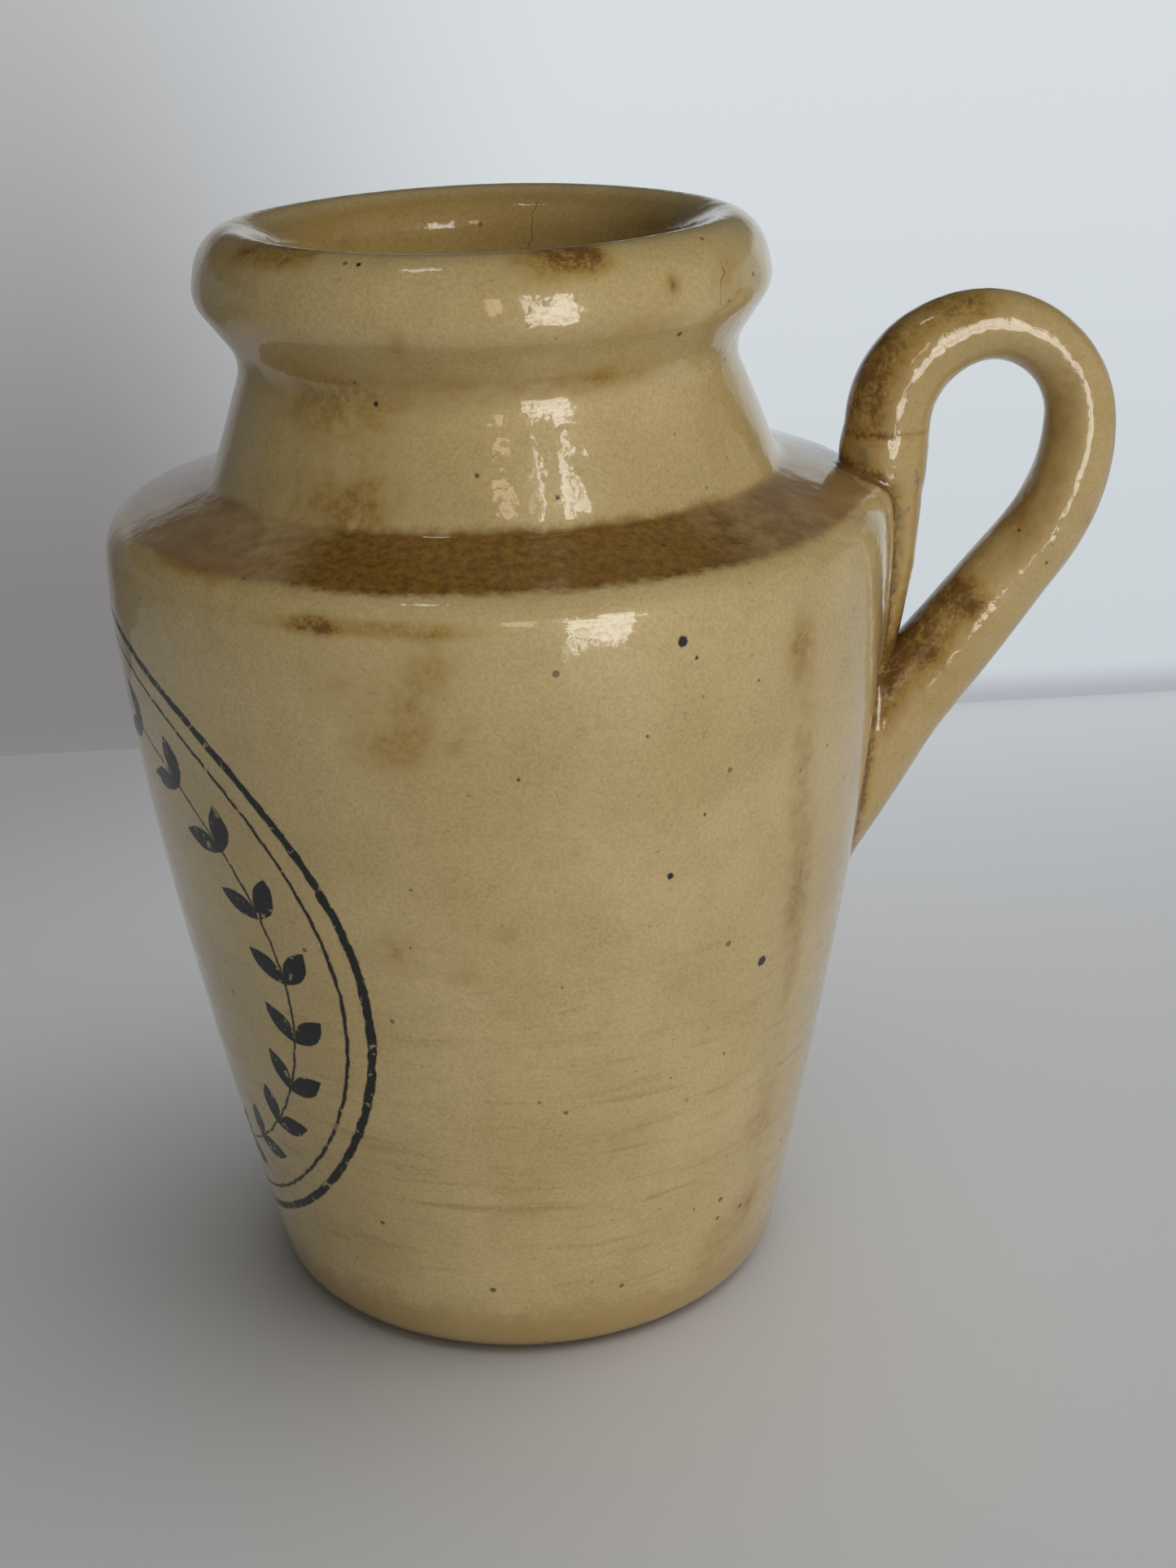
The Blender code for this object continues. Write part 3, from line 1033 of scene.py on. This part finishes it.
def glaze_colour(graph, places):
    """The honey glaze itself: cloudy, faintly streaked across the jug and finely speckled."""
    clouds = graph.step(places.noise(16.0, 3.0), 0.3, 0.7)
    colour = graph.mix(clouds, GLAZE_PALE, GLAZE_DEEP)
    patches = graph.step(places.noise(5.0, 4.0, 0.6), 0.42, 0.75)
    colour = graph.mix(graph.times(patches, 0.16), colour, GLAZE_BROWN)
    rings = graph.noise(graph.stretched(places.point, 0.1, 1.0), 1.3, 5.0, 0.7)
    streaks = graph.times(graph.step(rings, 0.5, 0.75), graph.between(places.z, *STREAK_HEIGHTS))
    colour = graph.mix(graph.times(streaks, 0.6), colour, GLAZE_BROWN)
    fine = graph.step(places.noise(0.75, 3.0, 0.7), 0.58, 0.72)
    gathered = graph.step(places.noise(8.0, 3.0, 0.6), 0.35, 0.7, 0.15, 0.75)
    colour = graph.mix(graph.times(fine, gathered), colour, GLAZE_SPECKLE)
    grain = graph.step(places.noise(0.35, 3.0, 0.7), 0.3, 0.7, 0.88, 1.1)
    shade = graph.node("CombineColor", {0: grain, 1: grain, 2: grain}).outputs[0]
    return graph.mix(1.0, colour, shade, "MULTIPLY")


def stained_and_shaded(graph, places, colour):
    """Amber and brown where glaze pooled, with a granular edge; on the handle some of it is painted shade.
    """
    stain_and_shade = graph.node("Attribute", {}, attribute_name="stain_and_shade").outputs["Fac"]
    lumps = places.noise(1.6, 4.0, 0.65)
    grain = places.noise(0.35, 2.0, 0.6)
    level = graph.times(stain_and_shade, graph.scaled(lumps, 2.2, -0.1))
    level = graph.scaled(graph.minus(grain, 0.5), graph.times(stain_and_shade, 1.3), level)
    colour = graph.mix(graph.step(level, 0.05, 0.75), colour, STAIN_AND_SHADE_AMBER)
    return graph.mix(graph.step(level, 0.55, 1.25), colour, STAIN_AND_SHADE_BROWN)


def foot_and_under(graph, places, colour):
    """Painted shade inside the jug, deeper glaze above the foot, bare clay underneath, and 1 where the clay
    is bare.
    """
    last, first = INSIDE_FOOT
    core = graph.times(graph.step(places.radius, first, last), graph.step(places.z, 2.0, 4.0))
    past_wall = graph.minus(places.radius, wall_line(graph, places))
    belly = graph.times(graph.between(places.z, *CAVITY_HEIGHTS), graph.step(past_wall, -2.0, -3.0))
    # Painted shade inside the jug: on its floor and in its neck (core), and down its belly (belly)
    colour = graph.mix(graph.highest(core, belly), colour, INSIDE_PAINTED_SHADE, "MULTIPLY")
    lumps = places.noise(2.5, 3.0)
    height = graph.scaled(lumps, 5.0, graph.minus(places.z, 2.5))
    pooled = graph.times(graph.step(height, 8.5, 3.0), 0.75)
    colour = graph.mix(pooled, colour, GLAZE_BROWN)
    edge = graph.scaled(lumps, 3.0, places.radius)
    bare = graph.times(graph.step(places.z, 0.55, 0.2), graph.step(edge, 26.5, 25.0))
    return graph.mix(bare, colour, BARE_CLAY), bare


def wall_line(graph, places):
    """The radius of the wall's outside at a point's height."""
    share = graph.math("DIVIDE", graph.minus(WIDEST_HEIGHT, places.z), WIDEST_HEIGHT)
    curve = graph.math("POWER", graph.math("ABSOLUTE", share), WALL_CURVE)
    return graph.scaled(curve, FOOT_RADIUS - WIDEST_RADIUS, WIDEST_RADIUS)


def bumps(graph, places, bare, wave_height):
    """The glaze's orange-peel and the potter's unevenness, as heights in millimetres."""
    slow = graph.times(places.noise(3.6, 2.0), wave_height)
    fine = graph.times(places.noise(0.8, 2.0), PEEL_HEIGHT)
    clay = graph.times(places.noise(0.3, 3.0), 0.05)
    height = graph.math("ADD", slow, fine)
    height = graph.scaled(clay, bare, height)
    return graph.node("Bump", {"Height": height, "Distance": MM, "Strength": 1.0}).outputs[0]


def dotted(graph, places, colour):
    """Scattered brown and black dots, and finer brown ones between them."""
    brown_dots, choice = dots(graph, places, 2.6, 0.34, 5.0)
    dot_colour = graph.mix(graph.step(choice, 0.55, 0.65), DOT_BROWN, DOT_BLACK)
    colour = graph.mix(graph.times(brown_dots, 0.75), colour, dot_colour)
    pin_dots, _ = dots(graph, places, 1.2, 0.13, 11.0)
    return graph.mix(graph.times(pin_dots, 0.4), colour, DOT_BROWN)


def body_colour(graph, places):
    """The vessel's glaze with its band, print, specks and cracks: the colour, the print and bare clay."""
    colour = stained_and_shaded(graph, places, glaze_colour(graph, places))
    band, grain, front = shoulder_band(graph, places)
    brown = graph.mix(graph.step(grain, 0.3, 0.7), BAND_DARK, BAND_LIGHT)
    # Away from its front the band is paler: worn on the left, a painted reflection sheen on the right
    brown = graph.mix(graph.times(graph.minus(1.0, front), 0.6), brown, BAND_WORN_AND_SHEEN)
    colour = graph.mix(band, colour, brown)
    colour, bare = foot_and_under(graph, places, colour)
    ink = ornament(graph, places)
    colour = graph.mix(graph.times(ink, 0.98), dotted(graph, places, colour), INK)
    colour = graph.mix(iron_specks(graph, places), colour, DOT_BLACK)
    colour = graph.mix(graph.times(hairlines(graph, places), 0.7), colour, DOT_BROWN)
    return colour, ink, bare


def handle_colour(graph, places):
    """The handle's more amber glaze, blotched blue-grey round its joint: the colour, no print, bare clay."""
    colour = graph.mix(0.3, glaze_colour(graph, places), ROPE_AMBER)
    colour, bare = foot_and_under(graph, places, stained_and_shaded(graph, places, colour))
    colour = dotted(graph, places, colour)
    patches = graph.noise(graph.stretched(places.point, 1.0, 0.55), 1.5, 4.0, 0.65)
    joint = graph.times(graph.step(places.radius, *JOINT_RADII), graph.between(places.z, *JOINT_HEIGHTS))
    blotches = graph.times(graph.step(patches, 0.56, 0.66), joint)
    return graph.mix(graph.times(blotches, 0.45), colour, DOT_BLUE), 0.0, bare


def glaze(name, colouring, wave_height):
    """A glossy coat of glaze over clay, with a colouring function of its own."""
    material = bpy.data.materials.new(name)
    graph = Graph(material)
    places = Places(graph)
    colour, ink, bare = colouring(graph, places)
    normal = bumps(graph, places, bare, wave_height)
    wear = places.noise(7.0, 4.0, 0.7)
    matt = graph.scaled(ink, INK_MATT, bare)
    sockets = {
        "Base Color": colour,
        "Roughness": graph.math("ADD", graph.step(wear, 0.3, 0.75, 0.3, 0.42), bare),
        "IOR": 1.5,
        "Specular IOR Level": 0.15,
        "Normal": normal,
        "Coat Weight": graph.minus(0.95, matt),
        "Coat Roughness": 0.045,
        "Coat IOR": 1.5,
        "Coat Normal": normal,
    }
    graph.fill("Principled BSDF", sockets)
    return material


# ---------------- stage


def stage_plane(name, corners, shade):
    """A flat four-cornered piece of the stage with a plain material of its own."""
    data = bpy.data.meshes.new(name)
    data.from_pydata([Vector(corner) * MM for corner in corners], [], [(0, 1, 2, 3)])
    item = add_object(name, data)
    material = bpy.data.materials.new(name)
    graph = Graph(material)
    shade(graph, graph.point())
    data.materials.append(material)
    return item


def floor_shade(graph, point):
    """A pale matt table, painted paler to the left against the light's falloff, with a painted shade where
    it meets the wall on the left.
    """
    across, back, _ = graph.parts(point)
    colour = graph.mix(graph.step(across, -90.0, 130.0), TABLE_LEFT, TABLE_RIGHT)
    corner = graph.times(graph.step(across, 60.0, -70.0), graph.step(back, 40.0, 150.0))
    colour = graph.mix(graph.times(corner, 0.6), colour, TABLE_CORNER)
    tooth = graph.noise(point, 0.5, 2.0)
    roughness = graph.step(tooth, 0.2, 0.8, 0.45, 0.6)
    sockets = {"Base Color": colour, "Roughness": roughness, "Specular IOR Level": 0.3}
    graph.fill("Principled BSDF", sockets)


def wall_shade(graph, point):
    """A plain pale wall that glows with painted light and shade, dim to the left and brighter to the right
    and higher up, and darker along its foot on the right. Its back is clear, so the jug can be seen from
    behind.

    The jug mirrors only the part of it near the jug.
    """
    across, _, up = graph.parts(point)
    left = graph.mix(graph.step(up, 20.0, 150.0), WALL_LEFT_LOW, WALL_LEFT_HIGH)
    right = graph.mix(graph.step(up, 0.0, 125.0), WALL_RIGHT_LOW, WALL_RIGHT_HIGH)
    leaning = graph.scaled(up, 0.12, across)
    colour = graph.mix(graph.step(leaning, -62.0, 36.0), left, right)
    seam = graph.mix(graph.step(across, -62.0, 60.0), SEAM_LEFT, SEAM_RIGHT)
    colour = graph.mix(graph.step(up, 7.0, 0.0), colour, seam)
    dimmed = graph.step(up, 124.0, 152.0, 1.0, 0.06)
    dimmed = graph.times(dimmed, graph.step(across, -150.0, -95.0, 0.3, 1.0))
    dimmed = graph.times(dimmed, graph.step(across, 140.0, 200.0, 1.0, 0.5))
    seen = graph.node("LightPath", {}).outputs["Is Camera Ray"]
    glow = graph.node("Emission", {"Color": colour, "Strength": graph.highest(dimmed, seen)})
    clear = graph.node("BsdfTransparent", {})
    behind = graph.node("NewGeometry", {}).outputs["Backfacing"]
    both = graph.node("MixShader", {0: behind, 1: glow.outputs[0], 2: clear.outputs[0]})
    graph.fill("Material Output", {"Surface": both.outputs[0]})


def make_stage(floor_height):
    """The table that the jug stands on, and the wall behind it, which throws no shadow."""
    reach = STAGE_REACH
    low = floor_height / MM
    corners = [(-reach, -reach, low), (reach, -reach, low), (reach, reach, low), (-reach, reach, low)]
    floor = stage_plane("floor", corners, floor_shade)
    sides = [(-reach, low), (reach, low), (reach, reach), (-reach, reach)]
    wall = stage_plane("wall", [(x, WALL_BACK, z) for x, z in sides], wall_shade)
    wall.visible_shadow = False
    return [floor, wall]


def make_camera():
    """A camera above the front of the jug, looking a little down and to the right."""
    pitch, yaw, roll = (math.radians(angle) for angle in (CAMERA_PITCH, CAMERA_YAW, CAMERA_ROLL))
    ahead = Vector((math.sin(yaw) * math.cos(pitch), math.cos(yaw) * math.cos(pitch), -math.sin(pitch)))
    right = Vector((math.cos(yaw), -math.sin(yaw), 0))
    up = right.cross(ahead)
    turned_right = right * math.cos(roll) + up * math.sin(roll)
    turned_up = up * math.cos(roll) - right * math.sin(roll)
    data = bpy.data.cameras.new("camera")
    data.lens = LENS
    data.sensor_width = SENSOR_WIDTH
    data.clip_start = CLIP_START
    camera = add_object("camera", data)
    turn = Matrix((turned_right, turned_up, -ahead)).transposed()
    place = Vector((CAMERA_SIDE, -CAMERA_BACK, CAMERA_HEIGHT)) * MM
    camera.matrix_world = Matrix.LocRotScale(place, turn, None)
    bpy.context.scene.camera = camera


def panel_light(name, angle, elevation, distance, width, height, radiance, colour):
    """A soft panel that faces the jug's middle."""
    data = bpy.data.lights.new(name, "AREA")
    data.shape = "RECTANGLE"
    data.size = width * MM
    data.size_y = height * MM
    data.energy = radiance * math.pi * data.size * data.size_y
    data.color = colour
    light = add_object(name, data)
    turn = math.radians(angle)
    tilt = math.radians(elevation)
    away = Vector((math.cos(turn) * math.cos(tilt), math.sin(turn) * math.cos(tilt), math.sin(tilt)))
    light.location = (away * distance + Vector((0, 0, LIGHTS_AIM))) * MM
    light.rotation_mode = "QUATERNION"
    light.rotation_quaternion = (-away).to_track_quat("-Z", "Y")
    return light


def patchy(light):
    """Gives a panel's light ragged edges and a broken middle, as trees and bars do behind a window."""
    graph = Graph(light.data)
    spread = graph.node("NewGeometry", {}).outputs["Parametric"]
    across, up, _ = graph.parts(spread)
    sides = [graph.math("ABSOLUTE", graph.minus(share, 0.5)) for share in (across, up)]
    ragged = graph.noise(spread, RAGGED_SIZE, 4.0, 0.65)
    edge = graph.scaled(ragged, 0.9, graph.highest(*sides))
    clumps = graph.noise(spread, CLUMP_SIZE, 2.0, 0.5)
    broken = graph.step(clumps, 0.35, 0.55, 0.55, 1.15)
    strength = graph.times(graph.step(edge, 0.83, 0.78), broken)
    graph.fill("Emission", {"Strength": strength})


def make_lights(jug, stage):
    """The soft light on the jug and the light on the stage are kept apart."""
    lights = {entry[0]: panel_light(*entry) for entry in LIGHTS}
    for name, lit in (("daylight", jug), ("fill", jug), ("table_light", stage)):
        lights[name].light_linking.receiver_collection = lit
        lights[name].visible_glossy = False
    for name in ("window", "curtain", "ceiling_lamp"):
        lights[name].visible_diffuse = False
    patchy(lights["window"])


def group(name, items):
    """A collection of objects that a light can be tied to."""
    collection = bpy.data.collections.new(name)
    for item in items:
        collection.objects.link(item)
    return collection


def make_world():
    """The room: dim to the left and above as the jug mirrors it, and plain where it is looked at."""
    world = bpy.data.worlds.new("room")
    graph = Graph(world)
    direction = graph.node("TexCoord", {}).outputs["Generated"]
    across, _, up = graph.parts(direction)
    sides = graph.mix(graph.step(across, -0.9, 0.8), ROOM_LEFT, ROOM_RIGHT)
    colour = graph.mix(graph.step(up, 0.2, 1.0), sides, ROOM_ABOVE)
    seen = graph.node("LightPath", {}).outputs["Is Camera Ray"]
    colour = graph.mix(seen, colour, ROOM_SEEN)
    graph.fill("Background", {"Color": colour})
    bpy.context.scene.world = world


def build_jug():
    """The jug's four shown pieces, with their glazes."""
    outline = throwing_rings(vessel_outline())
    outside = outline[: int(np.argmax(outline[:, 1])) + 1]
    lowest, highest = TABLE_HEIGHTS
    wall = outline_table(outside[(outside[:, 1] > lowest) & (outside[:, 1] < highest)])
    vessel = turned_mesh(outline)
    upper = lute_mesh("upper_lute", upper_lute_field(wall))
    lower = lute_mesh("lower_lute", lower_lute_field(wall))
    body_glaze = glaze("body_glaze", body_colour, WAVE_HEIGHT)
    handle_glaze = glaze("handle_glaze", handle_colour, ROPE_WAVE_HEIGHT)
    lute_glaze = glaze("lute_glaze", handle_colour, ROPE_WAVE_HEIGHT)
    return [
        piece("vessel", vessel, wall, body_glaze, "body_glaze", "jug_body"),
        piece("handle_rope", rope_mesh(), wall, handle_glaze, "handle_glaze", "handle"),
        piece("shoulder_lute", upper, wall, lute_glaze, "lute_glaze", "upper_lute"),
        piece("wall_lute", lower, wall, lute_glaze, "lute_glaze", "lower_lute"),
    ]


jug_pieces = build_jug()
stage_pieces = make_stage(cad_box[0].z)
make_camera()
make_world()
make_lights(group("jug", jug_pieces), group("stage", stage_pieces))
bpy.context.scene.view_settings.view_transform = "Standard"
